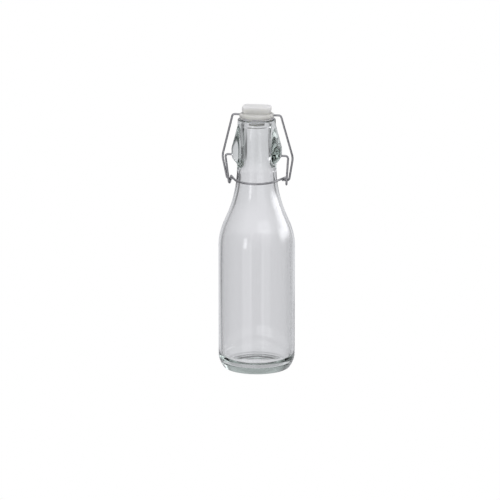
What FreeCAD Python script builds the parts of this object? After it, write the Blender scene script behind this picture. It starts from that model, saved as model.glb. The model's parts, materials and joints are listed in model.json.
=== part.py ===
import FreeCAD, Part
import math
import os
import Sketcher

# Swing-top growler: a clear glass bottle closed by a stopper on a two-wire clamp.
# Millimetres. Z runs up the bottle's axis from the plane it stands on, X runs along the two
# pivots of the clamp, and the finger arc of the lever wire is at the front, at minus Y.

DIMENSIONS = [
    ("body_radius", 29.0, "outside of the straight wall"),
    ("wall", 2.6, "glass in the straight wall"),
    ("foot_radius", 25.0, "where the heel's slope meets the ground plane, before rounding"),
    ("heel_height", 6.2, "where the heel's slope meets the wall, before rounding"),
    ("foot_round", 1.7, "rounding between the foot and the heel"),
    ("heel_round", 16.0, "rounding between the heel and the wall"),
    ("punt_radius", 19.6, "inner edge of the ring that the bottle stands on"),
    ("punt_rise", 2.6, "height of the push-up under the base"),
    ("floor_height", 6.6, "inside floor at the axis"),
    ("floor_edge_height", 5.0, "inside floor at its edge"),
    ("floor_radius", 22.0, "inside floor's edge, before rounding"),
    ("floor_corner", 10.0, "where the inside corner meets the wall, before rounding"),
    ("shoulder_height", 103.8, "where the wall would meet the shoulder cone"),
    ("shoulder_round", 44.7, "rounding of the shoulder"),
    ("throat_height", 136.5, "where the shoulder cone would meet the neck"),
    ("throat_round", 95.0, "rounding from the shoulder cone into the neck"),
    ("throat_inner_round", 70.0, "the same inside the bottle"),
    ("inner_round", 4.3, "small roundings inside the bottle"),
    ("neck_radius", 14.9, "outside of the neck"),
    ("neck_wall", 2.6, "glass in the neck below the finish"),
    ("finish_height", 178.0, "where the neck starts to draw in below the lip"),
    ("bore_radius", 9.8, "bore of the mouth"),
    ("bore_bottom", 161.0, "lower end of the straight bore"),
    ("bore_flare", 153.0, "where the bore has opened out to the neck's inside"),
    ("lip_radius", 14.4, "outside of the lip bead"),
    ("lip_height", 192.5, "top of the glass"),
    ("bead_height", 188.4, "lower edge of the lip bead"),
    ("undercut_radius", 13.8, "neck just below the lip bead"),
    ("bead_round", 1.5, "rounding of the lip's edges"),
    ("lug_reach", 18.8, "side of the bottle's axis that the pivot lugs reach to"),
    ("lug_top", 189.5, "top of the lug, inside the lip bead"),
    ("lug_crown", 13.6, "side of the bottle's axis that the lug's ends reach to"),
    ("lug_shelf", 170.2, "top of the lug's steep side"),
    ("lug_chin", 163.0, "bottom of the lug's steep side"),
    ("lug_bottom", 157.2, "where the lug runs back into the neck"),
    ("lug_width", 17.0, "size of the lug from front to back"),
    ("lug_curve", 7.0, "rounding of the lug's outline, seen from the front"),
    ("lug_round", 6.0, "rounding of the lug's upright edges"),
    ("pivot_height", 164.6, "axis of the lever in the lugs"),
    ("dimple_bottom", 15.6, "distance of the dimples' ends from the bottle's axis"),
    ("running_clearance", 0.08, "gap all round a wire in its hole"),
    ("wire_radius", 0.8, "both wires"),
    ("eye_depth", 6.5, "how far the lever's eyes lie behind the bottle's axis"),
    ("eye_height", 143.85, "centre of the lever's eyes"),
    ("eye_radius", 2.6, "centre line of the eyes"),
    ("hook_height", 144.5, "axis of the bail's in-turned ends, high in the eyes"),
    ("eye_reach", 22.1, "distance of the eyes from the middle plane, at the leg"),
    ("eye_pitch", 1.2, "how far the eye's one turn moves inwards"),
    ("lever_reach", 24.0, "distance of the lever's outer bends from the middle plane"),
    ("lever_tip", 15.9, "distance of the lever's in-turned ends from the middle plane"),
    ("finger_radius", 16.8, "centre line of the finger arc round the neck"),
    ("finger_drop", 0.7, "how far the finger arc dips from the eyes to the front"),
    ("small_bend", 2.0, "tight bends of both wires"),
    ("crossbar_height", 195.6, "axis of the bail's crossbar in the stopper"),
    ("crossbar_reach", 18.3, "distance of the bail's upper corners from the middle plane"),
    ("knee_reach", 26.95, "distance of the bail's knees from the middle plane"),
    ("knee_drop", 33.4, "how far the knees lie below the crossbar, along the bail"),
    ("knee_bend", 14.0, "bend at the knees"),
    ("hook_reach", 23.7, "distance of the bail's lower corners from the middle plane"),
    ("hook_tip", 18.2, "distance of the bail's in-turned ends from the middle plane"),
    ("flange_radius", 13.1, "flange of the stopper"),
    ("flange_bottom", 193.9, "underside of the flange"),
    ("flange_top", 196.9, "upper side of the flange"),
    ("flange_round", 0.8, "rounding of the flange's lower edge"),
    ("flange_crown_round", 1.5, "rounding of the flange's upper edge"),
    ("block_reach", 10.85, "half the width of the grip block"),
    ("block_foot", 10.2, "half the width of the grip block at its foot"),
    ("block_shelf", 199.2, "where the block has reached its full width"),
    ("block_depth", 12.0, "size of the block from front to back"),
    ("block_top", 202.7, "top of the block"),
    ("block_corner", 3.5, "rounding of the block's upright corners"),
    ("block_round", 1.3, "rounding of the block's top edge"),
    ("stem_radius", 5.0, "stem under the flange"),
    ("bulb_radius", 6.4, "bulb that holds the gasket on the stem"),
    ("bulb_top", 189.25, "upper side of the bulb"),
    ("bulb_bottom", 188.2, "lower end of the stopper"),
    ("bulb_round", 0.45, "rounding of the bulb"),
    ("gasket_radius", 12.6, "outside of the gasket"),
    ("gasket_gap", 0.15, "gap between the gasket and the stem"),
    ("spigot_radius", 8.2, "part of the gasket inside the bore"),
    ("spigot_foot", 7.7, "the same at its lower end"),
    ("gasket_bottom", 189.4, "lower end of the gasket"),
    ("gasket_round", 0.5, "rounding of the gasket's rim"),
]

document = FreeCAD.newDocument("growler")
sheet = document.addObject("Spreadsheet::Sheet", "dims")
for row, (alias, size, meaning) in enumerate(DIMENSIONS, start=1):
    sheet.set("A%d" % row, alias)
    sheet.set("B%d" % row, str(size))
    sheet.setAlias("B%d" % row, alias)
    sheet.set("C%d" % row, meaning)
document.recompute()


def number(expression):
    """Value of an expression over the sheet, such as dims.body_radius - dims.wall."""
    return float(sheet.evalExpression(expression))


def cell(alias):
    """Value of one cell of the sheet."""
    return float(sheet.get(alias))


def new_body(label):
    """Empty body with its own name."""
    body = document.addObject("PartDesign::Body", label)
    body.Label = label
    return body


def new_sketch(body, name, plane, offset="0"):
    """Sketch on one of the body's own origin planes, moved along the plane's normal by offset."""
    sketch = body.newObject("Sketcher::SketchObject", name)
    planes = [feature for feature in body.Origin.OriginFeatures if feature.Role == plane]
    sketch.AttachmentSupport = [(planes[0], "")]
    sketch.MapMode = "FlatFace"
    if offset != "0":
        sketch.setExpression("AttachmentOffset.Base.z", offset)
    document.recompute()
    return sketch


def bind(sketch, constraint, expression):
    """Add a dimension to the sketch and drive it by the sheet."""
    index = sketch.addConstraint(constraint)
    sketch.setExpression("Constraints[%d]" % index, expression)


def pin_point(sketch, geometry, point, across, up):
    """Hold a point at a place that the sheet gives. The text 0 puts it on the axis."""
    if across == "0":
        sketch.addConstraint(Sketcher.Constraint("PointOnObject", geometry, point, -2))
    else:
        bind(sketch, Sketcher.Constraint("DistanceX", -1, 1, geometry, point, number(across)), across)
    if up == "0":
        sketch.addConstraint(Sketcher.Constraint("PointOnObject", geometry, point, -1))
    else:
        bind(sketch, Sketcher.Constraint("DistanceY", -1, 1, geometry, point, number(up)), up)


def rounding(before, corner, after, radius):
    """Ends, middle and centre of the arc that rounds the corner of a path."""
    back = (before - corner).normalize()
    ahead = (after - corner).normalize()
    half_angle = back.getAngle(ahead) / 2
    inward = (back + ahead).normalize()
    centre = corner + inward * (radius / math.sin(half_angle))
    setback = radius / math.tan(half_angle)
    return corner + back * setback, centre - inward * radius, corner + ahead * setback, centre


def draw_path(sketch, corners, closed=True):
    """Straight lines through corners, each (across, up) or, where it is rounded, (across, up, radius)."""
    spots = [FreeCAD.Vector(number(corner[0]), number(corner[1]), 0) for corner in corners]
    count = len(spots)
    arrivals = list(spots)
    departures = list(spots)
    centres = {}
    for index, corner in enumerate(corners):
        if len(corner) == 3:
            before = spots[index - 1]
            after = spots[(index + 1) % count]
            arc = rounding(before, spots[index], after, number(corner[2]))
            arrivals[index], departures[index], centres[index] = arc[0], arc[2], arc[3]
    lines = []
    for index in range(count if closed else count - 1):
        line = Part.LineSegment(departures[index], arrivals[(index + 1) % count])
        lines.append(sketch.addGeometry(line))
    for index, corner in enumerate(corners):
        if not closed and index == 0:
            pin_point(sketch, lines[0], 1, corner[0], corner[1])
        elif not closed and index == count - 1:
            pin_point(sketch, lines[-1], 2, corner[0], corner[1])
        elif index in centres:
            round_corner(sketch, lines[index - 1], lines[index], spots[index], corner,
                         (arrivals[index], departures[index], centres[index]))
        else:
            sketch.addConstraint(Sketcher.Constraint("Coincident", lines[index - 1], 2, lines[index], 1))
            pin_point(sketch, lines[index], 1, corner[0], corner[1])


def round_corner(sketch, line_in, line_out, spot, corner, arc_points):
    """Arc between two lines whose straight runs would meet at the corner."""
    arrival, departure, centre = arc_points
    radius = number(corner[2])
    start = math.atan2(arrival.y - centre.y, arrival.x - centre.x)
    end = math.atan2(departure.y - centre.y, departure.x - centre.x)
    turns_left = math.sin(end - start) > 0
    low, high = (start, end) if turns_left else (end, start)
    circle = Part.Circle(centre, FreeCAD.Vector(0, 0, 1), radius)
    arc = sketch.addGeometry(Part.ArcOfCircle(circle, low, high if high > low else high + 2 * math.pi))
    arc_in, arc_out = (1, 2) if turns_left else (2, 1)
    sketch.addConstraint(Sketcher.Constraint("Tangent", line_in, 2, arc, arc_in))
    sketch.addConstraint(Sketcher.Constraint("Tangent", arc, arc_out, line_out, 1))
    bind(sketch, Sketcher.Constraint("Radius", arc, radius), corner[2])
    point = sketch.addGeometry(Part.Point(spot), True)
    sketch.addConstraint(Sketcher.Constraint("PointOnObject", point, 1, line_in))
    sketch.addConstraint(Sketcher.Constraint("PointOnObject", point, 1, line_out))
    pin_point(sketch, point, 1, corner[0], corner[1])


def draw_circle(sketch, across, up, radius):
    """Circle whose centre and radius the sheet gives."""
    centre = FreeCAD.Vector(number(across), number(up), 0)
    circle = sketch.addGeometry(Part.Circle(centre, FreeCAD.Vector(0, 0, 1), number(radius)))
    pin_point(sketch, circle, 3, across, up)
    bind(sketch, Sketcher.Constraint("Radius", circle, number(radius)), radius)


def turn(body, kind, name, sketch):
    """Full turn of a sketch about the vertical axis, as a Revolution or a Groove."""
    feature = body.newObject("PartDesign::" + kind, name)
    feature.Profile = sketch
    feature.ReferenceAxis = (sketch, ["V_Axis"])
    feature.Angle = 360
    document.recompute()
    return feature


def extrude(body, kind, name, sketch, length):
    """Pad or Pocket that reaches half its length to each side of the sketch."""
    feature = body.newObject("PartDesign::" + kind, name)
    feature.Profile = sketch
    feature.Midplane = True
    feature.setExpression("Length", length)
    document.recompute()
    return feature


def fillet(body, name, base, edges, radius):
    """Rounding of some edges of the feature that the body holds so far."""
    feature = body.newObject("PartDesign::Fillet", name)
    feature.Base = (base, ["Edge%d" % number_of_edge for number_of_edge in edges])
    feature.setExpression("Radius", radius)
    document.recompute()
    return feature


def edges_where(shape, wanted):
    """Numbers of the edges whose two ends and middle all satisfy wanted(point)."""
    found = []
    for position, edge in enumerate(shape.Edges, start=1):
        middle = edge.valueAt((edge.FirstParameter + edge.LastParameter) / 2)
        points = [vertex.Point for vertex in edge.Vertexes] + [middle]
        if all(wanted(point) for point in points):
            found.append(position)
    return found


def build_bottle():
    """Glass bottle: pivot lugs and outer form, then the cavity and the pivot dimples."""
    body = new_body("bottle")
    lug = new_sketch(body, "lug_outline", "XZ_Plane")
    draw_path(lug, [
        ("dims.lug_crown", "dims.lug_top"),
        ("-dims.lug_crown", "dims.lug_top"),
        ("-dims.lug_reach", "dims.lug_shelf", "dims.lug_curve"),
        ("-dims.lug_reach", "dims.lug_chin", "dims.lug_curve"),
        ("-dims.lug_crown", "dims.lug_bottom"),
        ("dims.lug_crown", "dims.lug_bottom"),
        ("dims.lug_reach", "dims.lug_chin", "dims.lug_curve"),
        ("dims.lug_reach", "dims.lug_shelf", "dims.lug_curve"),
    ])
    lugs = extrude(body, "Pad", "lugs", lug, "dims.lug_width")
    half_width = cell("lug_width") / 2
    sides = edges_where(lugs.Shape, lambda point: abs(abs(point.y) - half_width) < 0.01)
    level = [edge for edge in sides if lugs.Shape.Edges[edge - 1].BoundBox.ZLength < 0.01]
    fillet(body, "lug_edges", lugs, [edge for edge in sides if edge not in level], "dims.lug_round")

    outer = new_sketch(body, "bottle_outline", "XZ_Plane")
    draw_path(outer, [
        ("0", "dims.punt_rise"),
        ("dims.punt_radius", "0", "dims.foot_round"),
        ("dims.foot_radius", "0", "dims.foot_round"),
        ("dims.body_radius", "dims.heel_height", "dims.heel_round"),
        ("dims.body_radius", "dims.shoulder_height", "dims.shoulder_round"),
        ("dims.neck_radius", "dims.throat_height", "dims.throat_round"),
        ("dims.neck_radius", "dims.finish_height", "dims.shoulder_round"),
        ("dims.undercut_radius", "dims.bead_height - dims.wire_radius", "dims.wire_radius"),
        ("dims.lip_radius", "dims.bead_height", "dims.wire_radius"),
        ("dims.lip_radius", "dims.lip_height", "dims.bead_round"),
        ("0", "dims.lip_height"),
    ])
    turn(body, "Revolution", "bottle_form", outer)

    inner = new_sketch(body, "cavity_outline", "XZ_Plane")
    draw_path(inner, [
        ("0", "dims.floor_height"),
        ("dims.floor_radius", "dims.floor_edge_height", "dims.inner_round"),
        ("dims.body_radius - dims.wall", "dims.floor_corner", "dims.inner_round"),
        ("dims.body_radius - dims.wall", "dims.shoulder_height", "dims.shoulder_round"),
        ("dims.neck_radius - dims.neck_wall", "dims.throat_height", "dims.throat_inner_round"),
        ("dims.neck_radius - dims.neck_wall", "dims.bore_flare", "dims.inner_round"),
        ("dims.bore_radius", "dims.bore_bottom", "dims.inner_round"),
        ("dims.bore_radius", "dims.lip_height - dims.wire_radius"),
        ("dims.bore_radius + dims.wire_radius", "dims.lip_height"),
        ("dims.bore_radius + dims.wire_radius", "dims.lip_height + dims.wall"),
        ("0", "dims.lip_height + dims.wall"),
    ])
    turn(body, "Groove", "cavity", inner)

    for side in (-1, 1):
        dimple = body.newObject("PartDesign::SubtractiveCylinder", "dimple_" + ("left" if side < 0 else "right"))
        dimple.Placement.Rotation = FreeCAD.Rotation(FreeCAD.Vector(0, 0, 1), FreeCAD.Vector(side, 0, 0))
        dimple.setExpression("Radius", "dims.wire_radius + dims.running_clearance")
        dimple.setExpression("Height", "dims.wall * 2")
        dimple.setExpression("Placement.Base.x", "%d * dims.dimple_bottom" % side)
        dimple.setExpression("Placement.Base.z", "dims.pivot_height")
        document.recompute()
    return body


def draw_block_plan(sketch, half_width):
    """Outline of the grip block seen from above, with rounded corners."""
    draw_path(sketch, [
        (across, up, "dims.block_corner")
        for across, up in (
            ("-" + half_width, "-dims.block_depth / 2"),
            (half_width, "-dims.block_depth / 2"),
            (half_width, "dims.block_depth / 2"),
            ("-" + half_width, "dims.block_depth / 2"))
    ])


def build_stopper():
    """Plastic stopper: the grip block, with the flange, stem and bulb under it as one turned form."""
    body = new_body("stopper")
    foot = new_sketch(body, "block_foot_plan", "XY_Plane", "dims.crossbar_height")
    draw_block_plan(foot, "dims.block_foot")
    foot_pad = body.newObject("PartDesign::Pad", "block_foot_pad")
    foot_pad.Profile = foot
    foot_pad.setExpression("Length", "dims.flange_top - dims.crossbar_height")
    flare_bottom = new_sketch(body, "flare_bottom_plan", "XY_Plane", "dims.flange_top")
    draw_block_plan(flare_bottom, "dims.block_foot")
    flare_top = new_sketch(body, "flare_top_plan", "XY_Plane", "dims.block_shelf")
    draw_block_plan(flare_top, "dims.block_reach")
    flare = body.newObject("PartDesign::AdditiveLoft", "block_flare")
    flare.Profile = flare_bottom
    flare.Sections = [flare_top]
    flare.Ruled = True
    document.recompute()
    crown = new_sketch(body, "block_crown_plan", "XY_Plane", "dims.block_shelf")
    draw_block_plan(crown, "dims.block_reach")
    grip = body.newObject("PartDesign::Pad", "grip_block")
    grip.Profile = crown
    grip.setExpression("Length", "dims.block_top - dims.block_shelf")
    document.recompute()
    top = cell("block_top")
    rim = edges_where(grip.Shape, lambda point: abs(point.z - top) < 0.01)
    fillet(body, "block_edges", grip, rim, "dims.block_round")

    turned = new_sketch(body, "stopper_outline", "XZ_Plane")
    draw_path(turned, [
        ("0", "dims.bulb_bottom"),
        ("dims.bulb_radius", "dims.bulb_bottom", "dims.bulb_round"),
        ("dims.bulb_radius", "dims.bulb_top", "dims.bulb_round"),
        ("dims.stem_radius", "dims.bulb_top"),
        ("dims.stem_radius", "dims.flange_bottom"),
        ("dims.flange_radius", "dims.flange_bottom", "dims.flange_round"),
        ("dims.flange_radius", "dims.flange_top", "dims.flange_crown_round"),
        ("0", "dims.flange_top"),
    ])
    turn(body, "Revolution", "flange_and_stem", turned)

    hole = new_sketch(body, "crossbar_hole", "YZ_Plane")
    draw_circle(hole, "0", "dims.crossbar_height", "dims.wire_radius + dims.running_clearance")
    extrude(body, "Pocket", "crossbar_bore", hole, "dims.body_radius * 2")
    return body


def build_gasket():
    """Sealing ring on the stem: a disc on the lip and a spigot in the bore."""
    body = new_body("gasket")
    ring = new_sketch(body, "gasket_outline", "XZ_Plane")
    draw_path(ring, [
        ("dims.stem_radius + dims.gasket_gap", "dims.gasket_bottom"),
        ("dims.spigot_foot", "dims.gasket_bottom", "dims.gasket_round"),
        ("dims.spigot_radius", "dims.lip_height"),
        ("dims.gasket_radius", "dims.lip_height", "dims.gasket_round"),
        ("dims.gasket_radius", "dims.flange_bottom", "dims.gasket_round"),
        ("dims.stem_radius + dims.gasket_gap", "dims.flange_bottom"),
    ])
    turn(body, "Revolution", "ring", ring)
    return body


def build_bail():
    """Upper wire, bent in one plane that leans back from the crossbar to the lever's eyes."""
    body = new_body("bail_wire")
    length = "sqrt((dims.crossbar_height - dims.hook_height) ^ 2 + dims.eye_depth ^ 2)"
    route = new_sketch(body, "bail_route", "XZ_Plane")
    draw_path(route, [
        ("-dims.hook_tip", "-" + length),
        ("-dims.hook_reach", "-" + length, "dims.small_bend"),
        ("-dims.knee_reach", "-dims.knee_drop", "dims.knee_bend"),
        ("-dims.crossbar_reach", "0", "dims.small_bend"),
        ("dims.crossbar_reach", "0", "dims.small_bend"),
        ("dims.knee_reach", "-dims.knee_drop", "dims.knee_bend"),
        ("dims.hook_reach", "-" + length, "dims.small_bend"),
        ("dims.hook_tip", "-" + length),
    ], closed=False)
    section = new_sketch(body, "bail_section", "YZ_Plane", "-dims.hook_tip")
    draw_circle(section, "0", "-" + length, "dims.wire_radius")
    pipe = body.newObject("PartDesign::AdditivePipe", "bail_bent")
    pipe.Profile = section
    pipe.Spine = (route, [])
    document.recompute()
    lean = math.degrees(math.atan2(cell("eye_depth"), cell("crossbar_height") - cell("hook_height")))
    body.Placement = FreeCAD.Placement(FreeCAD.Vector(0, 0, cell("crossbar_height")),
                                       FreeCAD.Rotation(FreeCAD.Vector(1, 0, 0), lean))
    return body


def lever_half():
    """Corners and bend radii of the right half of the lever, from its tip to the finger arc."""
    pivot_height = cell("pivot_height")
    eye_depth = cell("eye_depth")
    eye_height = cell("eye_height")
    eye_radius = cell("eye_radius")
    bend = cell("small_bend")
    corners = [
        (FreeCAD.Vector(cell("lever_tip"), 0, pivot_height), 0),
        (FreeCAD.Vector(cell("lever_reach"), 0, pivot_height), bend),
    ]
    drop = pivot_height - eye_height
    lean = math.atan2(eye_depth, drop) - math.asin(eye_radius / math.hypot(eye_depth, drop))
    first_angle = math.pi + lean
    last_angle = 2.5 * math.pi
    bends = 4
    step = (last_angle - first_angle) / bends
    corner_radius = eye_radius / math.cos(step / 2)
    for index in range(bends):
        share = (index + 0.5) / bends
        angle = first_angle + share * (last_angle - first_angle)
        corner = FreeCAD.Vector(
            cell("eye_reach") - share * cell("eye_pitch"),
            eye_depth + corner_radius * math.cos(angle),
            eye_height + corner_radius * math.sin(angle))
        corners.append((corner, eye_radius * 0.9))
    exit_corner = corners[-1][0]
    finger_radius = cell("finger_radius")
    away = math.hypot(exit_corner.x, exit_corner.y)
    touch = math.atan2(exit_corner.y, exit_corner.x) - math.acos(finger_radius / away)
    turn_step = (math.pi + 2 * touch) / 3
    finger_corner = finger_radius / math.cos(turn_step / 2)
    for share in (0.5, 1.5):
        angle = touch - share * turn_step
        corner = FreeCAD.Vector(
            finger_corner * math.cos(angle),
            finger_corner * math.sin(angle),
            exit_corner.z - cell("finger_drop") * share / 1.5)
        corners.append((corner, finger_radius * 0.98))
    return corners


def build_lever():
    """Lower wire: in-turned pivots, legs, eyes and the finger arc, bent in three dimensions."""
    half = lever_half()
    mirrored = [(FreeCAD.Vector(-corner.x, corner.y, corner.z), radius) for corner, radius in half[-2::-1]]
    corners = half + mirrored
    edges = []
    last = corners[0][0]
    for before, here, after in zip(corners, corners[1:], corners[2:]):
        arrival, middle, departure, _ = rounding(before[0], here[0], after[0], here[1])
        edges.append(Part.LineSegment(last, arrival).toShape())
        edges.append(Part.Arc(arrival, middle, departure).toShape())
        last = departure
    edges.append(Part.LineSegment(last, corners[-1][0]).toShape())
    route = Part.Wire(edges)
    section = Part.Wire(Part.Circle(corners[0][0], FreeCAD.Vector(1, 0, 0), cell("wire_radius")).toShape())
    lever = document.addObject("Part::Feature", "lever_wire")
    lever.Label = "lever_wire"
    lever.Shape = route.makePipeShell([section], True, False)
    lever.Placement = FreeCAD.Placement()
    expected = route.Length * math.pi * cell("wire_radius") ** 2
    print("lever wire: length %.1f mm, volume %.2f of %.2f mm3" % (route.Length, lever.Shape.Volume, expected))
    return lever


def check(parts):
    """Stop unless every object recomputed and every sub-part is one valid solid."""
    for item in document.Objects:
        if "Invalid" in item.State or "Error" in item.State:
            raise RuntimeError("%s did not recompute: %s" % (item.Name, item.State))
    for part in parts:
        shape = part.Shape
        if shape.isNull() or not shape.isValid() or len(shape.Solids) != 1:
            raise RuntimeError("%s is not one valid solid" % part.Label)
        box = shape.BoundBox
        print("%-10s volume %9.1f mm3, x %.1f..%.1f, y %.1f..%.1f, z %.1f..%.1f" % (
            part.Label, shape.Volume, box.XMin, box.XMax, box.YMin, box.YMax, box.ZMin, box.ZMax))


parts = [build_bottle(), build_lever(), build_bail(), build_stopper(), build_gasket()]
document.recompute()
check(parts)
os.makedirs("parts", exist_ok=True)
for part in parts:
    part.Shape.exportStep("parts/%s.step" % part.Label)
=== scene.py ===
import json
import math

import bmesh
import bpy
import numpy as np
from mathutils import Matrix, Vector


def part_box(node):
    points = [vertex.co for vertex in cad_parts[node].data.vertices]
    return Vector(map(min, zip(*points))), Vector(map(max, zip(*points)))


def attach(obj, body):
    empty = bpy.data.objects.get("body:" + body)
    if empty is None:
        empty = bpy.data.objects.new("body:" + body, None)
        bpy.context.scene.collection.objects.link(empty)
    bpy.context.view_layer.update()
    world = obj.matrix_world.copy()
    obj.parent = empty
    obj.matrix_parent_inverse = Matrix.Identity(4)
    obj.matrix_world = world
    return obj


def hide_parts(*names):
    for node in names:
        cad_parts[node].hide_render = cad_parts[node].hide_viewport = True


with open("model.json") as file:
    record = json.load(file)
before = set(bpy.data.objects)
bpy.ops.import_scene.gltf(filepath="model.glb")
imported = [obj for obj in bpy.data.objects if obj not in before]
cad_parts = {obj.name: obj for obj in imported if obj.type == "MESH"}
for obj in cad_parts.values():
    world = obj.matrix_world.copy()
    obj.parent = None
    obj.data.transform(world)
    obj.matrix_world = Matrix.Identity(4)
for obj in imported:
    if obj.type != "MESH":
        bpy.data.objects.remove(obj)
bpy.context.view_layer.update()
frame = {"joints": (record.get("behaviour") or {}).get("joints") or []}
scene = bpy.context.scene

# A clear glass swing-top bottle with a two-wire clamp. Shapes are worked out in millimetres and
# become metres in new_mesh. Z runs up the bottle's axis, X along the two pivots of the clamp, and
# the finger arc of the lever is at minus Y.
MM = 0.001

# ---------------------------------------------------------------- the frame's own measures
joints = {joint["name"]: joint for joint in frame["joints"]}


def joint_place(name):
    """A point of a joint's axis, in mm."""
    return np.array(joints[name]["pos_m"], float) / MM


def span(node):
    """Lowest and highest corner of a CAD node, in mm."""
    low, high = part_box(node)
    return np.array(low) / MM, np.array(high) / MM


bottle_high = span("bottle")[1]
stopper_low, stopper_high = span("stopper")

PIVOT = joint_place("lever_swing")
HOOK = joint_place("bail_swing")
CROSSBAR = joint_place("stopper_turn")
BODY = bottle_high[0]
LIP_TOP = bottle_high[2]
STOPPER_TOP, STOPPER_FOOT = stopper_high[2], stopper_low[2]
WIRE_RADIUS = 0.8


# ---------------------------------------------------------------- paths and meshes
def unit(vector):
    """The vector at length one."""
    return vector / np.linalg.norm(vector)


def straight(start, end, step):
    """Points after start, up to and with end, no further apart than step."""
    count = max(1, math.ceil(np.linalg.norm(end - start) / step))
    return [start + (end - start) * (index / count) for index in range(1, count + 1)]


def rounded_path(corners, step, arc_step):
    """Points along straight runs through corners, each (coordinates, bend radius)."""
    corners = [(np.array(place, float), radius) for place, radius in corners]
    points = [corners[0][0]]
    for before, (corner, radius), after in zip(corners, corners[1:], corners[2:]):
        if not radius:
            points += straight(points[-1], corner, step)
            continue
        back = unit(before[0] - corner)
        ahead = unit(after[0] - corner)
        half_angle = math.acos(max(-1.0, min(1.0, float(back @ ahead)))) / 2
        centre = corner + unit(back + ahead) * (radius / math.sin(half_angle))
        arrival = corner + back * (radius / math.tan(half_angle)) - centre
        departure = corner + ahead * (radius / math.tan(half_angle)) - centre
        points += straight(points[-1], centre + arrival, step)
        sweep = math.pi - 2 * half_angle
        count = max(2, math.ceil(sweep * radius / arc_step))
        for index in range(1, count + 1):
            share = index / count
            spoke = arrival * math.sin((1 - share) * sweep) + departure * math.sin(share * sweep)
            points.append(centre + spoke / math.sin(sweep))
    return points + straight(points[-1], corners[-1][0], step)


def even_angles(count):
    """Angles at even distances round a full turn."""
    return np.arange(count) * 2 * math.pi / count


def level_ring(angles, radius, height):
    """Points round the bottle's axis at one height."""
    return np.column_stack([radius * np.cos(angles), radius * np.sin(angles), np.full(len(angles), height)])


def box_reach(angles, half_x, half_y, corner):
    """Distance from the centre to a rounded rectangle, along each angle."""
    cosine, sine = np.abs(np.cos(angles)), np.abs(np.sin(angles))
    reach = np.minimum(half_x / np.maximum(cosine, 1e-9), half_y / np.maximum(sine, 1e-9))
    corner_x, corner_y = half_x - corner, half_y - corner
    along = corner_x * cosine + corner_y * sine
    inside = along ** 2 - (corner_x ** 2 + corner_y ** 2 - corner ** 2)
    arc = along + np.sqrt(np.maximum(inside, 0))
    on_arc = (arc * cosine > corner_x) & (arc * sine > corner_y) & (inside > 0)
    return np.where(on_arc, arc, reach)


def grid_faces(rows, columns, closed=False):
    """Quads between the rings of a grid, and between the last and the first if it is closed."""
    faces = []
    for row in range(rows if closed else rows - 1):
        this, below = row * columns, (row + 1) % rows * columns
        for column in range(columns):
            following = (column + 1) % columns
            faces.append((this + column, this + following, below + following, below + column))
    return faces


def lathe(rings, first_end, last_end):
    """Closed mesh of rings of points between two end points."""
    rows, columns = rings.shape[:2]
    verts = np.vstack([rings.reshape(-1, 3), [first_end], [last_end]])
    faces = grid_faces(rows, columns)
    first_pole = rows * columns
    last = (rows - 1) * columns
    for column in range(columns):
        following = (column + 1) % columns
        faces.append((first_pole, following, column))
        faces.append((first_pole + 1, last + column, last + following))
    return verts, faces


def new_mesh(name, verts, faces):
    """Mesh from points in mm, with all faces turned outwards."""
    mesh = bpy.data.meshes.new(name)
    mesh.from_pydata([tuple(point) for point in np.asarray(verts) * MM], [], faces)
    mesh.validate()
    work = bmesh.new()
    work.from_mesh(mesh)
    bmesh.ops.recalc_face_normals(work, faces=work.faces)
    work.to_mesh(mesh)
    work.free()
    return mesh


def new_object(name, data):
    """Object in the scene, with its data."""
    thing = bpy.data.objects.new(name, data)
    scene.collection.objects.link(thing)
    return thing


def new_piece(name, verts, faces, material, body, node, slot, uvs=None):
    """Smooth piece from points in mm that rides on a CAD body and stands for a CAD node."""
    mesh = new_mesh(name, verts, faces)
    if uvs is not None:
        layer = mesh.uv_layers.new(name="UVMap")
        loop_verts = np.zeros(len(mesh.loops), np.int32)
        mesh.loops.foreach_get("vertex_index", loop_verts)
        layer.data.foreach_set("uv", np.asarray(uvs, np.float32)[loop_verts].ravel())
    mesh.shade_smooth()
    mesh.materials.append(material)
    piece = new_object(name, mesh)
    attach(piece, body)
    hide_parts(node)
    return piece


# ---------------------------------------------------------------- materials
def material_nodes(name):
    """New material, with its nodes, its links and its shader."""
    material = bpy.data.materials.new(name)
    material.use_nodes = True
    nodes, links = material.node_tree.nodes, material.node_tree.links
    return material, nodes, links, nodes["Principled BSDF"]


def set_inputs(node, values):
    """Set a node's inputs by name."""
    for name, value in values.items():
        node.inputs[name].default_value = value


def add(nodes, kind, **settings):
    """Shader node with its properties, and its inputs by name, set."""
    node = nodes.new("ShaderNode" + kind)
    for key, value in settings.items():
        if hasattr(node, key):
            setattr(node, key, value)
        else:
            node.inputs[key.replace("_", " ")].default_value = value
    return node


def noise(nodes, links, scale, detail, stretch=(1, 1, 1), coordinates="Object"):
    """Strength of a noise over the piece's own coordinates."""
    source = add(nodes, "TexCoord")
    mapping = add(nodes, "Mapping", Scale=stretch)
    texture = add(nodes, "TexNoise", Scale=scale, Detail=detail)
    links.new(source.outputs[coordinates], mapping.inputs["Vector"])
    links.new(mapping.outputs["Vector"], texture.inputs["Vector"])
    return texture.outputs["Fac"]


def add_bump(nodes, links, shader, height, distance, strength):
    """Fine relief, as high as the distance, in metres, where the height is one."""
    bump = add(nodes, "Bump", Distance=distance, Strength=strength)
    links.new(height, bump.inputs["Height"])
    links.new(bump.outputs["Normal"], shader.inputs["Normal"])


def vary_roughness(nodes, links, shader, cloud, low, high):
    """Roughness that goes from low to high with a noise."""
    rough = add(nodes, "MapRange", To_Min=low, To_Max=high)
    links.new(cloud, rough.inputs["Value"])
    links.new(rough.outputs["Result"], shader.inputs["Roughness"])


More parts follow.
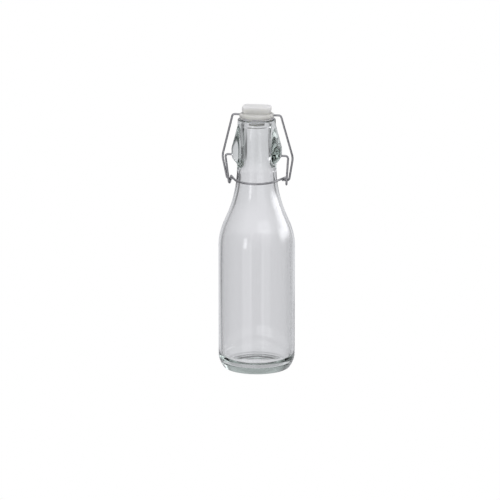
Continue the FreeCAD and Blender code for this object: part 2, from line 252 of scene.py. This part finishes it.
def ramp(nodes, links, factor, low, high, stops):
    """Colour that goes from low to high as the factor rises between the stops."""
    node = add(nodes, "ValToRGB")
    for element, position, colour in zip(node.color_ramp.elements, stops, (low, high)):
        element.position = position
        element.color = (*colour, 1.0)
    links.new(factor, node.inputs["Fac"])
    return node.outputs["Color"]


def height_tint_and_painted_light(nodes, links, low, high, below, above):
    """Colour that changes over a range of height, in mm. The stopper and the sealing ring use it for painted
    shade and painted light along with their own tint.
    """
    source = add(nodes, "TexCoord")
    apart = add(nodes, "SeparateXYZ")
    share = add(nodes, "MapRange", From_Min=low * MM, From_Max=high * MM)
    links.new(source.outputs["Object"], apart.inputs["Vector"])
    links.new(apart.outputs["Z"], share.inputs["Value"])
    return ramp(nodes, links, share.outputs["Result"], below, above, (0.0, 1.0))


def mottled(nodes, links, colour, cloud, amount):
    """The colour, darker by up to an amount in clouds."""
    shade = add(nodes, "MapRange", To_Min=1.0 - amount, To_Max=1.0)
    node = add(nodes, "VectorMath", operation="SCALE")
    links.new(cloud, shade.inputs["Value"])
    links.new(colour, node.inputs[0])
    links.new(shade.outputs["Result"], node.inputs["Scale"])
    return node.outputs["Vector"]


def clear_glass():
    """Flint glass, green where it is thick, with the faint unevenness of a moulded bottle."""
    material, nodes, links, shader = material_nodes("clear_flint_glass")
    set_inputs(shader, {"Base Color": (1.0, 1.0, 1.0, 1.0), "Roughness": 0.0, "IOR": 1.52,
                        "Transmission Weight": 1.0})
    add_bump(nodes, links, shader, noise(nodes, links, 55.0, 2.0, (1, 1, 0.35)), 0.0002, 0.2)
    volume = add(nodes, "VolumeAbsorption", Color=(0.43, 0.53, 0.48, 1.0), Density=23.0)
    links.new(volume.outputs["Volume"], nodes["Material Output"].inputs["Volume"])
    return material


def bright_steel(name):
    """Drawn wire with a thin zinc coat: fine lines along it and uneven dull patches."""
    material, nodes, links, shader = material_nodes(name)
    set_inputs(shader, {"Metallic": 1.0})
    patches = noise(nodes, links, 900.0, 4.0)
    colour = ramp(nodes, links, patches, (0.288, 0.288, 0.2952), (0.36, 0.36, 0.3672), (0.3, 0.7))
    links.new(colour, shader.inputs["Base Color"])
    vary_roughness(nodes, links, shader, patches, 0.16, 0.34)
    add_bump(nodes, links, shader, noise(nodes, links, 1.0, 2.0, (0.15, 60, 1), "UV"), 0.00002, 0.6)
    return material


def translucent(name, cloud_scale, tint, blue, roughness, grain):
    """Cloudy material that light soaks into, with a fine grain.

    tint is what height_tint_and_painted_light takes, blue is how far blue light goes beside the rest, roughness is
    its lowest and highest value, and grain is a noise's scale and detail and the bump's strength.
    """
    material, nodes, links, shader = material_nodes(name)
    cloud = noise(nodes, links, cloud_scale, 3.0)
    colour = mottled(nodes, links, height_tint_and_painted_light(nodes, links, *tint), cloud, 0.06)
    links.new(colour, shader.inputs["Base Color"])
    set_inputs(shader, {"Subsurface Weight": 0.9, "Subsurface Radius": (1.0, 1.0, blue),
                        "Subsurface Scale": 0.004})
    vary_roughness(nodes, links, shader, cloud, *roughness)
    scale, detail, strength = grain
    add_bump(nodes, links, shader, noise(nodes, links, scale, detail), 0.00003, strength)
    return material


def white_plastic():
    """Translucent moulded plastic, yellower in the thick flange, with a fine satin surface. Its colour is
    also painted darker down the foot of the block and in the flange, as painted shade under the light from
    above.
    """
    # Painted shade: from 202 mm down to 196 mm the colour goes from light grey to a darker, yellower grey.
    # The darkening is painted shade, and the yellow is the plastic's own.
    tint = (196.0, 202.0, (0.62, 0.62, 0.575), (0.79, 0.79, 0.765))
    return translucent("white_stopper_plastic", 160.0, tint, 0.95, (0.42, 0.54), (4200.0, 2.0, 0.35))


def milky_silicone():
    """Silicone sealing ring: milky, a little yellow, softly shiny. Its spigot down in the bore is painted
    lighter, as painted light where little light reaches.
    """
    # Painted light: below 190.5 mm the colour is lighter than above 193 mm, so the spigot inside the glass
    # bore looks lit.
    tint = (190.5, 193.0, (0.95, 0.95, 0.88), (0.80, 0.80, 0.73))
    return translucent("milky_silicone", 240.0, tint, 0.85, (0.34, 0.46), (2600.0, 3.0, 0.4))


# ---------------------------------------------------------------- bottle
# Distances from the axis.
FOOT, PUNT = 25.0, 19.6
NECK, UNDERCUT, LIP, LIP_EDGE = 14.9, 13.8, 14.4, 10.6
BORE, FLOOR_EDGE = 9.8, 22.0
WALL = 2.6

# Heights, from the foot up to the lip, outside and inside.
PUNT_RISE, HEEL_HEIGHT = 2.6, 6.2
SHOULDER_HEIGHT, THROAT_HEIGHT, FINISH_HEIGHT = 103.8, 136.5, 178.0
UNDERCUT_HEIGHT, BEAD_HEIGHT = 187.6, 188.4
FLOOR_EDGE_HEIGHT, FLOOR_RISE, FLOOR_CORNER_HEIGHT = 5.0, 6.6, 10.0
BORE_FLARE, BORE_BOTTOM = 153.0, 161.0

FOOT_ROUND, HEEL_ROUND, SHOULDER_ROUND, THROAT_ROUND, FINISH_ROUND = 1.7, 16.0, 44.7, 95.0, 45.0
BEAD_ROUND, LIP_ROUND, THROAT_INNER_ROUND, INNER_ROUND = 0.8, 0.7, 70.0, 4.3

# Each outline is a row of corners, (distance from the axis, height), with their roundings.
OUTSIDE = [
    ((0, PUNT_RISE), 0), ((PUNT, 0), FOOT_ROUND), ((FOOT, 0), FOOT_ROUND),
    ((BODY, HEEL_HEIGHT), HEEL_ROUND), ((BODY, SHOULDER_HEIGHT), SHOULDER_ROUND),
    ((NECK, THROAT_HEIGHT), THROAT_ROUND), ((NECK, FINISH_HEIGHT), FINISH_ROUND),
    ((UNDERCUT, UNDERCUT_HEIGHT), BEAD_ROUND), ((LIP, BEAD_HEIGHT), BEAD_ROUND),
    ((LIP, LIP_TOP), LIP_ROUND), ((LIP_EDGE, LIP_TOP), 0),
]
INSIDE = [
    ((LIP_EDGE, LIP_TOP), 0), ((BORE, LIP_TOP - 0.8), 0.5), ((BORE, BORE_BOTTOM), INNER_ROUND),
    ((NECK - WALL, BORE_FLARE), INNER_ROUND), ((NECK - WALL, THROAT_HEIGHT), THROAT_INNER_ROUND),
    ((BODY - WALL, SHOULDER_HEIGHT), SHOULDER_ROUND), ((BODY - WALL, FLOOR_CORNER_HEIGHT), INNER_ROUND),
    ((FLOOR_EDGE, FLOOR_EDGE_HEIGHT), INNER_ROUND), ((0, FLOOR_RISE), 0),
]

# Outline of a lug seen from the front, as above, and then its outline seen from the top.
LUG_SIDE = [((13.6, 189.5), 0), ((18.8, 170.2), 7.0), ((18.8, 163.0), 7.0), ((13.6, 157.2), 0)]
LUG_HALF_DEPTH, LUG_CORNER, LUG_BLEND = 8.5, 6.0, 1.2
LUG_REACHES, LUG_HEIGHTS = np.array(rounded_path(LUG_SIDE, 2.0, 0.5))[::-1].T

DIMPLE_BOTTOM, DIMPLE_MOUTH, DIMPLE_RADIUS = 15.6, 1.4, 0.98
SEAM_LOW, SEAM_HIGH, SEAM_HEIGHT, SEAM_WIDTH = 9.0, 150.0, 0.05, 0.35

# (low, high, step): between two heights the outside's points are no further apart than the step.
FINE_ROWS = [(155.0, 190.5, 0.38), (163.3, 166.5, 0.2)]
COARSE_STEP = 9.0


def refined(profile):
    """Profile with more points over the pivot lugs."""
    points = [profile[0]]
    for place in profile[1:]:
        middle = (points[-1][1] + place[1]) / 2
        step = min([COARSE_STEP] + [size for low, high, size in FINE_ROWS if low < middle < high])
        points += straight(points[-1], place, step)
    return points


def column_angles():
    """Angles round the axis, close together at the pivots."""
    quarter = np.concatenate([np.arange(0, 6, 0.5), np.arange(6, 30, 1.6), np.arange(30, 90, 2.5)])
    half = np.concatenate([quarter, [90.0], 180.0 - quarter[:0:-1]])
    return np.radians(np.concatenate([half, half + 180.0]))


def smooth_max(one, other, width):
    """The larger of two values, with a rounded change from one to the other."""
    share = np.clip(0.5 + 0.5 * (one - other) / width, 0, 1)
    return other * (1 - share) + one * share + width * share * (1 - share)


def smooth_step(value, none, full):
    """Zero up to none, rising smoothly to one at full."""
    share = np.clip((value - none) / (full - none), 0, 1)
    return share * share * (3 - 2 * share)


def with_lugs(ring, angles, height):
    """The ring drawn out to the two pivot lugs."""
    if not LUG_HEIGHTS[0] < height < LUG_HEIGHTS[-1]:
        return ring
    reach = np.interp(height, LUG_HEIGHTS, LUG_REACHES)
    lugs = box_reach(angles, reach, LUG_HALF_DEPTH, LUG_CORNER)
    fade = smooth_step(height, LUG_HEIGHTS[-1], LUG_HEIGHTS[-1] - 1.5)
    return ring + (smooth_max(lugs, ring, LUG_BLEND) - ring) * fade


def with_dimples(ring, angles, height):
    """The ring sunk to the two dimples that the lever turns in."""
    distance = np.hypot(ring * np.sin(angles), height - PIVOT[2])
    return ring - np.maximum(ring - DIMPLE_BOTTOM, 0) * smooth_step(distance, DIMPLE_MOUTH, DIMPLE_RADIUS)


def with_seams(ring, angles, height):
    """The ring with the faint ridge that the mould leaves at each side."""
    if not SEAM_LOW < height < SEAM_HIGH:
        return ring
    aside = np.abs(np.sin(angles)) * ring
    run_out = smooth_step(height, SEAM_LOW, SEAM_LOW + 5) * smooth_step(height, SEAM_HIGH, SEAM_HIGH - 10)
    return ring + SEAM_HEIGHT * np.exp(-(aside / SEAM_WIDTH) ** 2) * run_out


def uneven(radius, angles, height):
    """The inside wall, which is blown and touches no mould, with its slow waves."""
    waves = (0.5 * np.cos(2 * angles + height / 31.0) + 0.35 * np.cos(3 * angles - height / 23.0 + 1.1)
             + 0.4 * np.cos(angles + height / 47.0 + 2.0) + 0.25 * np.sin(5 * angles + height / 17.0))
    calm = smooth_step(height, 7.0, 16.0) * smooth_step(height, 176.0, 158.0)
    return radius + 0.13 * calm * waves


def bottle_mesh():
    """The outside from the middle of the foot up to the lip, then the inside down to the floor."""
    outside = refined(rounded_path(OUTSIDE, 2.2, 0.6))
    inside = rounded_path(INSIDE, 2.2, 0.8)
    angles = column_angles()
    rings = []
    for radius, height in outside[1:]:
        ring = np.full(len(angles), radius)
        for change in (with_lugs, with_dimples, with_seams):
            ring = change(ring, angles, height)
        rings.append(level_ring(angles, ring, height))
    for radius, height in inside[1:-1]:
        rings.append(level_ring(angles, uneven(radius, angles, height), height))
    return lathe(np.array(rings), (0, 0, PUNT_RISE), (0, 0, FLOOR_RISE))


new_piece("glass_bottle", *bottle_mesh(), clear_glass(), "glass", "bottle", "clear_glass")


# ---------------------------------------------------------------- wires
def mirrored(corners):
    """The same corners on the other side, in the opposite order."""
    return [((-place[0], place[1], place[2]), radius) for place, radius in corners[::-1]]


def lever_route():
    """Pivot, leg, eye and finger arc of the lever wire."""
    tip, leg, leg_bend = 15.9, 24.0, 2.0
    half = [((tip, 0, PIVOT[2]), 0), ((leg, 0, PIVOT[2]), leg_bend)]

    # One turn of the eye, as bends round its centre, from the leg to the run forward.
    eye_radius, eye_reach, eye_pitch, eye_bends = 2.6, 22.1, 1.2, 4
    eye_depth, eye_height = HOOK[1], HOOK[2] - 0.65
    drop = PIVOT[2] - eye_height
    first = math.pi + math.atan2(eye_depth, drop) - math.asin(eye_radius / math.hypot(eye_depth, drop))
    last = 2.5 * math.pi
    corner_radius = eye_radius / math.cos((last - first) / eye_bends / 2)
    for index in range(eye_bends):
        share = (index + 0.5) / eye_bends
        angle = first + share * (last - first)
        half.append(((eye_reach - share * eye_pitch, eye_depth + corner_radius * math.cos(angle),
                      eye_height + corner_radius * math.sin(angle)), eye_radius * 0.9))

    # The finger arc round the neck is two bends on each side of the middle plane.
    finger, finger_drop = 16.8, 0.7
    start_x, start_y, start_z = half[-1][0]
    touch = math.atan2(start_y, start_x) - math.acos(finger / math.hypot(start_x, start_y))
    step = (math.pi + 2 * touch) / 3
    corner_radius = finger / math.cos(step / 2)
    for share in (0.5, 1.5):
        angle = touch - share * step
        half.append(((corner_radius * math.cos(angle), corner_radius * math.sin(angle),
                      start_z - finger_drop * share / 1.5), finger * 0.98))
    return half + mirrored(half[:-1])


def bail_route():
    """Crossbar, knees and in-turned ends of the upper wire, in its own leaning plane."""
    length = math.hypot(CROSSBAR[2] - HOOK[2], HOOK[1])
    down = np.array([0, HOOK[1], HOOK[2] - CROSSBAR[2]]) / length
    flat = [((18.2, length), 0), ((23.7, length), 2.0), ((26.95, 33.4), 14.0), ((18.3, 0), 2.0)]
    half = [(np.array([across, 0, CROSSBAR[2]]) + down * along, radius) for (across, along), radius in flat]
    return half + mirrored(half)


def tube(path, radius, sides=18):
    """Tube along a path with softly broken ends. Also gives each point a UV place: length, turn."""
    path = np.array(path, float)
    tangents = np.gradient(path, axis=0)
    tangents /= np.linalg.norm(tangents, axis=1)[:, None]
    lengths = np.concatenate([[0], np.cumsum(np.linalg.norm(np.diff(path, axis=0), axis=1))])

    # Each ring is (index of the path's point, shift along it, share of the radius).
    dome = [(1.0, 0.0), (0.97, 0.66), (0.87, 0.40), (0.70, 0.20), (0.42, 0.07)]
    inset = 0.35 * radius
    end = len(path) - 1
    stations = [(0, depth * inset, width) for width, depth in dome[:0:-1]] + [(0, inset, 1.0)]
    stations += [(index, 0.0, 1.0) for index in range(1, end)]
    stations += [(end, -inset, 1.0)] + [(end, -depth * inset, width) for width, depth in dome[1:]]

    normal = unit(np.cross(tangents[0], (0.3, 0.5, 0.8)))
    turns = even_angles(sides)
    previous = tangents[0]
    rings, uvs = [], []
    for index, shift, width in stations:
        tangent = tangents[index]
        axis = np.cross(previous, tangent)
        size = np.linalg.norm(axis)
        if size > 1e-9:
            angle = math.asin(min(1.0, size))
            axis /= size
            normal = (normal * math.cos(angle) + np.cross(axis, normal) * math.sin(angle)
                      + axis * (axis @ normal) * (1 - math.cos(angle)))
        normal = unit(normal - tangent * (normal @ tangent))
        previous = tangent
        side = np.cross(tangent, normal)
        spokes = np.outer(np.cos(turns), normal) + np.outer(np.sin(turns), side)
        rings.append(path[index] + tangent * shift + radius * width * spokes)
        uvs += [(lengths[index] + shift, turn) for turn in turns / (2 * math.pi)]
    verts, faces = lathe(np.array(rings), path[0], path[-1])
    return verts, faces, uvs + [(0.0, 0.5), (lengths[-1], 0.5)]


for body, route in (("lever", lever_route()), ("bail", bail_route())):
    verts, faces, uvs = tube(rounded_path(route, 0.7, 0.35), WIRE_RADIUS)
    new_piece(body + "_spring_wire", verts, faces, bright_steel(body + "_bright_steel"),
              body, body + "_wire", body + "_steel", uvs)


# ---------------------------------------------------------------- stopper and gasket
BLOCK_X, BLOCK_FOOT_X, BLOCK_Y = 10.85, 10.2, 6.0
BLOCK_CORNER, BLOCK_RIM = 3.5, 1.3
SHELF = 199.2
FLANGE, FLANGE_TOP, FLANGE_BOTTOM = 13.1, 196.9, 193.9
FLANGE_CROWN_ROUND, FLANGE_FOOT_ROUND = 1.5, 0.8
STEM, BULB, BULB_TOP, BULB_ROUND = 5.0, 6.4, 189.25, 0.45
BORE_PLAY = 0.08

GASKET, GASKET_HOLE, GASKET_ROUND = 12.6, 5.15, 0.5
SPIGOT_TOP, SPIGOT_FOOT = 8.2, 7.7
GASKET_SEAT, GASKET_BOTTOM = 192.5, 189.4


def block_stations():
    """(height, half width, half depth, corner) of the grip block's outline, from the top down."""
    stations = []
    for inset in (0.3, 0.55, 0.75, 0.92):
        stations.append((STOPPER_TOP, (BLOCK_X - BLOCK_RIM) * inset, (BLOCK_Y - BLOCK_RIM) * inset,
                         (BLOCK_CORNER - BLOCK_RIM) * inset))
    for turn in np.radians(np.arange(0, 91, 10)):
        gap = BLOCK_RIM * (1 - math.sin(turn))
        stations.append((STOPPER_TOP - BLOCK_RIM * (1 - math.cos(turn)), BLOCK_X - gap, BLOCK_Y - gap,
                         BLOCK_CORNER - gap))
    for height in (200.9, 200.3, 199.7, 199.4, 199.2, 199.0, 198.6, 198.1, 197.6, 197.3):
        share = min(1.0, (height - FLANGE_TOP) / (SHELF - FLANGE_TOP))
        stations.append((height, BLOCK_FOOT_X + (BLOCK_X - BLOCK_FOOT_X) * share, BLOCK_Y, BLOCK_CORNER))
    stations.append((FLANGE_TOP + 0.15, BLOCK_FOOT_X + 0.13, BLOCK_Y + 0.08, BLOCK_CORNER))
    stations.append((FLANGE_TOP, BLOCK_FOOT_X + 0.35, BLOCK_Y + 0.3, BLOCK_CORNER + 0.1))
    return stations


def stopper_mesh():
    """Grip block, flange, stem and retaining bulb in one skin, from the top down."""
    angles = even_angles(120)
    rings = []
    for height, half_x, half_y, corner in block_stations():
        foot = box_reach(angles, half_x, half_y, corner)
        rings.append(level_ring(angles, foot, height))
    crown = FLANGE - FLANGE_CROWN_ROUND - 0.1
    for share in (0.3, 0.65):
        rings.append(level_ring(angles, foot + (crown - foot) * share, FLANGE_TOP))
    section = [((crown, FLANGE_TOP), 0), ((FLANGE, FLANGE_TOP), FLANGE_CROWN_ROUND),
               ((FLANGE, FLANGE_BOTTOM), FLANGE_FOOT_ROUND), ((STEM, FLANGE_BOTTOM), 0.1),
               ((STEM, BULB_TOP), 0.1), ((BULB, BULB_TOP), BULB_ROUND), ((BULB, STOPPER_FOOT), BULB_ROUND),
               ((0, STOPPER_FOOT), 0)]
    for radius, height in rounded_path(section, 0.9, 0.2)[:-1]:
        rings.append(level_ring(angles, radius, height))
    return lathe(np.array(rings), (0, 0, STOPPER_TOP), (0, 0, STOPPER_FOOT))


def bore_wire(piece):
    """Cut the crossbar's hole through the stopper, with a little play."""
    angles = even_angles(40)
    radius = WIRE_RADIUS + BORE_PLAY
    rings = np.array([np.column_stack([np.full(len(angles), across), radius * np.cos(angles),
                                       CROSSBAR[2] + radius * np.sin(angles)])
                      for across in (-15.0, 0.0, 15.0)])
    verts, faces = lathe(rings, (-15.0, 0, CROSSBAR[2]), (15.0, 0, CROSSBAR[2]))
    drill = new_object("drill", new_mesh("drill", verts, faces))
    cut = piece.modifiers.new("bore", "BOOLEAN")
    cut.object, cut.operation, cut.solver = drill, "DIFFERENCE", "EXACT"
    bored = bpy.data.meshes.new_from_object(piece.evaluated_get(bpy.context.evaluated_depsgraph_get()))
    piece.modifiers.clear()
    piece.data = bored
    bored.set_sharp_from_angle(angle=math.radians(40))
    bpy.data.objects.remove(drill)


def gasket_mesh():
    """The ring's rim on the lip and its spigot in the bore, all round the stopper's stem."""
    angles = even_angles(96)
    section = [((GASKET_HOLE, GASKET_BOTTOM), 0), ((SPIGOT_FOOT, GASKET_BOTTOM), GASKET_ROUND),
               ((SPIGOT_TOP, GASKET_SEAT), 0.2), ((GASKET, GASKET_SEAT), GASKET_ROUND),
               ((GASKET, FLANGE_BOTTOM), GASKET_ROUND), ((GASKET_HOLE, FLANGE_BOTTOM), 0),
               ((GASKET_HOLE, GASKET_BOTTOM), 0)]
    rings = np.array([level_ring(angles, radius, height)
                      for radius, height in rounded_path(section, 0.7, 0.15)[:-1]])
    return rings.reshape(-1, 3), grid_faces(*rings.shape[:2], closed=True)


stopper = new_piece("grip_stopper", *stopper_mesh(), white_plastic(), "closure", "stopper", "stopper_plastic")
bore_wire(stopper)
new_piece("sealing_ring", *gasket_mesh(), milky_silicone(), "closure", "gasket", "gasket_silicone")


# ---------------------------------------------------------------- studio
# Soft-edged panels of light: azimuth and elevation of the middle, half width, half height and
# softness of the edge, all in degrees, and then the strength.
BACKDROP = (95.0, -10.0, 39.0, 32.0, 13.0, 0.55)
PANELS = [
    (26.0, 10.0, 24.0, 9.0, 6.0, 2.8),
    (-117.0, 5.0, 5.0, 9.0, 3.0, 2.4),
    (-108.0, -34.0, 26.0, 14.0, 4.0, 0.8),
    (-112.0, -9.0, 15.0, 17.0, 4.0, 0.55),
    (-62.0, -14.0, 3.0, 6.0, 3.0, 0.45),
    (-81.0, 30.0, 60.0, 25.0, 25.0, 0.6),
]
ROOM_LOW, ROOM_HIGH, TABLE = 0.20, 0.86, 0.50
LIGHT_TINT = {"Red": 0.995, "Green": 0.988, "Blue": 1.03}

FLOOR_HALF_SIZE, FLOOR_HEIGHT = 2.5, -0.0003

CAMERA_AZIMUTH, CAMERA_ELEVATION = math.radians(9.0), math.radians(13.7)
CAMERA_DISTANCE, CAMERA_LENS = 3.0, 285.05
LOOK_HEIGHT, LOOK_LEFT = 0.09096, 0.00508


def math_node(nodes, links, operation, *inputs):
    """Result of a math node whose inputs are numbers or outputs of other nodes."""
    node = add(nodes, "Math", operation=operation)
    for index, value in enumerate(inputs):
        if isinstance(value, (int, float)):
            node.inputs[index].default_value = value
        else:
            links.new(value, node.inputs[index])
    return node.outputs["Value"]


def soft_edge(nodes, links, value, full, none):
    """One up to full, falling smoothly to zero at none."""
    share = add(nodes, "MapRange", interpolation_type="SMOOTHSTEP", From_Min=none, From_Max=full)
    links.new(value, share.inputs["Value"])
    return share.outputs["Result"]


def light_panel(nodes, links, direction, azimuth, elevation, half_width, half_height, softness):
    """How much of a soft-edged panel is seen along a direction. Its angles are in degrees."""
    turned = add(nodes, "VectorRotate", rotation_type="Z_AXIS", Angle=-math.radians(azimuth))
    apart = add(nodes, "SeparateXYZ")
    links.new(direction, turned.inputs["Vector"])
    links.new(turned.outputs["Vector"], apart.inputs["Vector"])
    aside = math_node(nodes, links, "ARCTAN2", apart.outputs["Y"], apart.outputs["X"])
    height = math_node(nodes, links, "ARCSINE", apart.outputs["Z"])
    rise = math_node(nodes, links, "SUBTRACT", height, math.radians(elevation))
    shares = []
    for angle, size in ((aside, half_width), (rise, half_height)):
        off = math_node(nodes, links, "ABSOLUTE", angle)
        full, none = math.radians(size - softness), math.radians(size + softness)
        shares.append(soft_edge(nodes, links, off, full, none))
    return math_node(nodes, links, "MULTIPLY", *shares)


def room_light(nodes, links, direction):
    """Strength of the light from each direction: table, darker room, ceiling, backdrop and panels."""
    apart = add(nodes, "SeparateXYZ")
    links.new(direction, apart.inputs["Vector"])
    rising = soft_edge(nodes, links, apart.outputs["Z"], 0.65, 0.1)
    level = math_node(nodes, links, "MULTIPLY_ADD", rising, ROOM_HIGH - ROOM_LOW, ROOM_LOW)
    falling = soft_edge(nodes, links, apart.outputs["Z"], -0.40, -0.28)
    level = math_node(nodes, links, "MULTIPLY_ADD", falling, TABLE - ROOM_LOW, level)
    *place, strength = BACKDROP
    share = light_panel(nodes, links, direction, *place)
    backdrop = math_node(nodes, links, "MULTIPLY_ADD", share, strength, ROOM_LOW)
    level = math_node(nodes, links, "MAXIMUM", level, backdrop)
    for *place, strength in PANELS:
        share = light_panel(nodes, links, direction, *place)
        level = math_node(nodes, links, "MULTIPLY_ADD", share, strength, level)
    return level


def make_world():
    """The room's light, which looks plain white where the camera sees it straight."""
    world = bpy.data.worlds.new("studio")
    scene.world = world
    world.use_nodes = True
    nodes, links = world.node_tree.nodes, world.node_tree.links
    level = room_light(nodes, links, add(nodes, "TexCoord").outputs["Generated"])
    colour = add(nodes, "CombineColor")
    for channel, tint in LIGHT_TINT.items():
        links.new(math_node(nodes, links, "MULTIPLY", level, tint), colour.inputs[channel])

    # A Mix node's colours are its inputs 6 and 7, and its colour result is output 2.
    mix = add(nodes, "Mix", data_type="RGBA")
    mix.inputs[7].default_value = (1.0, 1.0, 1.0, 1.0)
    links.new(add(nodes, "LightPath").outputs["Is Camera Ray"], mix.inputs["Factor"])
    links.new(colour.outputs["Color"], mix.inputs[6])
    links.new(mix.outputs[2], nodes["Background"].inputs["Color"])


def floor_material():
    """Plain white where the camera sees it straight, and clear to all other light."""
    material, nodes, links, shader = material_nodes("floor_sheet")
    nodes.remove(shader)
    mix = add(nodes, "MixShader")
    links.new(add(nodes, "LightPath").outputs["Is Camera Ray"], mix.inputs["Fac"])
    links.new(add(nodes, "BsdfTransparent").outputs["BSDF"], mix.inputs[1])
    links.new(add(nodes, "Emission", Strength=1.0).outputs["Emission"], mix.inputs[2])
    links.new(mix.outputs["Shader"], nodes["Material Output"].inputs["Surface"])
    return material


def make_floor():
    """Pale floor just below the bottle's foot."""
    corners = [(x * FLOOR_HALF_SIZE, y * FLOOR_HALF_SIZE, FLOOR_HEIGHT)
               for x, y in ((-1, -1), (1, -1), (1, 1), (-1, 1))]
    mesh = bpy.data.meshes.new("floor")
    mesh.from_pydata(corners, [], [(0, 1, 2, 3)])
    mesh.materials.append(floor_material())
    new_object("floor", mesh)


def make_camera():
    """Camera at the photograph's height and turn, a long way off."""
    level = math.cos(CAMERA_ELEVATION)
    back = Vector((level * math.sin(CAMERA_AZIMUTH), -level * math.cos(CAMERA_AZIMUTH),
                   math.sin(CAMERA_ELEVATION)))
    right = Vector((math.cos(CAMERA_AZIMUTH), math.sin(CAMERA_AZIMUTH), 0))
    camera = bpy.data.cameras.new("camera")
    camera.sensor_width = 36.0
    camera.lens = CAMERA_LENS
    camera.clip_end = 20.0
    holder = new_object("camera", camera)
    holder.location = Vector((0, 0, LOOK_HEIGHT)) - right * LOOK_LEFT + back * CAMERA_DISTANCE
    holder.rotation_euler = (-back).to_track_quat("-Z", "Y").to_euler()
    scene.camera = holder


make_world()
make_floor()
make_camera()
scene.view_settings.view_transform = "Standard"

# Light passes many glass walls before it reaches the camera.
scene.cycles.max_bounces = 28
scene.cycles.transmission_bounces = 28
scene.cycles.glossy_bounces = 8
scene.cycles.transparent_max_bounces = 8
